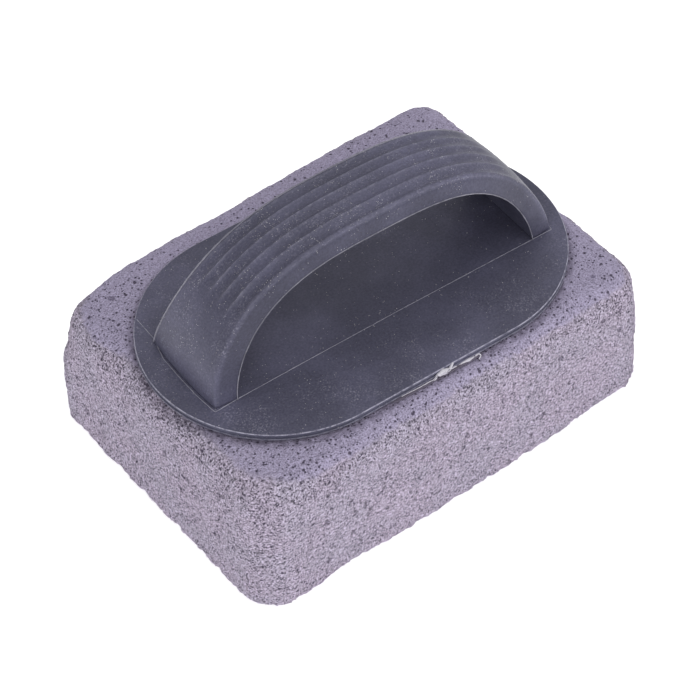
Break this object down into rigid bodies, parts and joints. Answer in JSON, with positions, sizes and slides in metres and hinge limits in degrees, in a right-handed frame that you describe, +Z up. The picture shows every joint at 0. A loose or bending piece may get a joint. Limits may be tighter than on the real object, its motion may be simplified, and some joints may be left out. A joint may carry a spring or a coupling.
{
  "type": "pumice scrubbing block with handle",
  "caption": "Rectangular block of pumice-like foamed stone with an oval handle plate and an arched, fluted grip glued on top, for scouring by hand.",
  "frame": {"origin": "middle of the block's base, at the bottom of the bounding box", "axes": "+X along the block's long side, +Y along its short side, +Z up through the handle"},
  "size_m": [0.1498, 0.1097, 0.0913],
  "materials": {
    "foamed_stone": "matt lavender-grey foamed stone, open pores all over, streaky on the walls",
    "charcoal_plastic": "satin charcoal moulded plastic with a faint blue tint, fine scuffs and pale dust specks",
    "set_glue": "clear-to-whitish set glue"
  },
  "bodies": {
    "root": {"pumice_block": "foamed_stone", "handle": "charcoal_plastic", "glue_layer": "set_glue"}
  },
  "joints": []
}
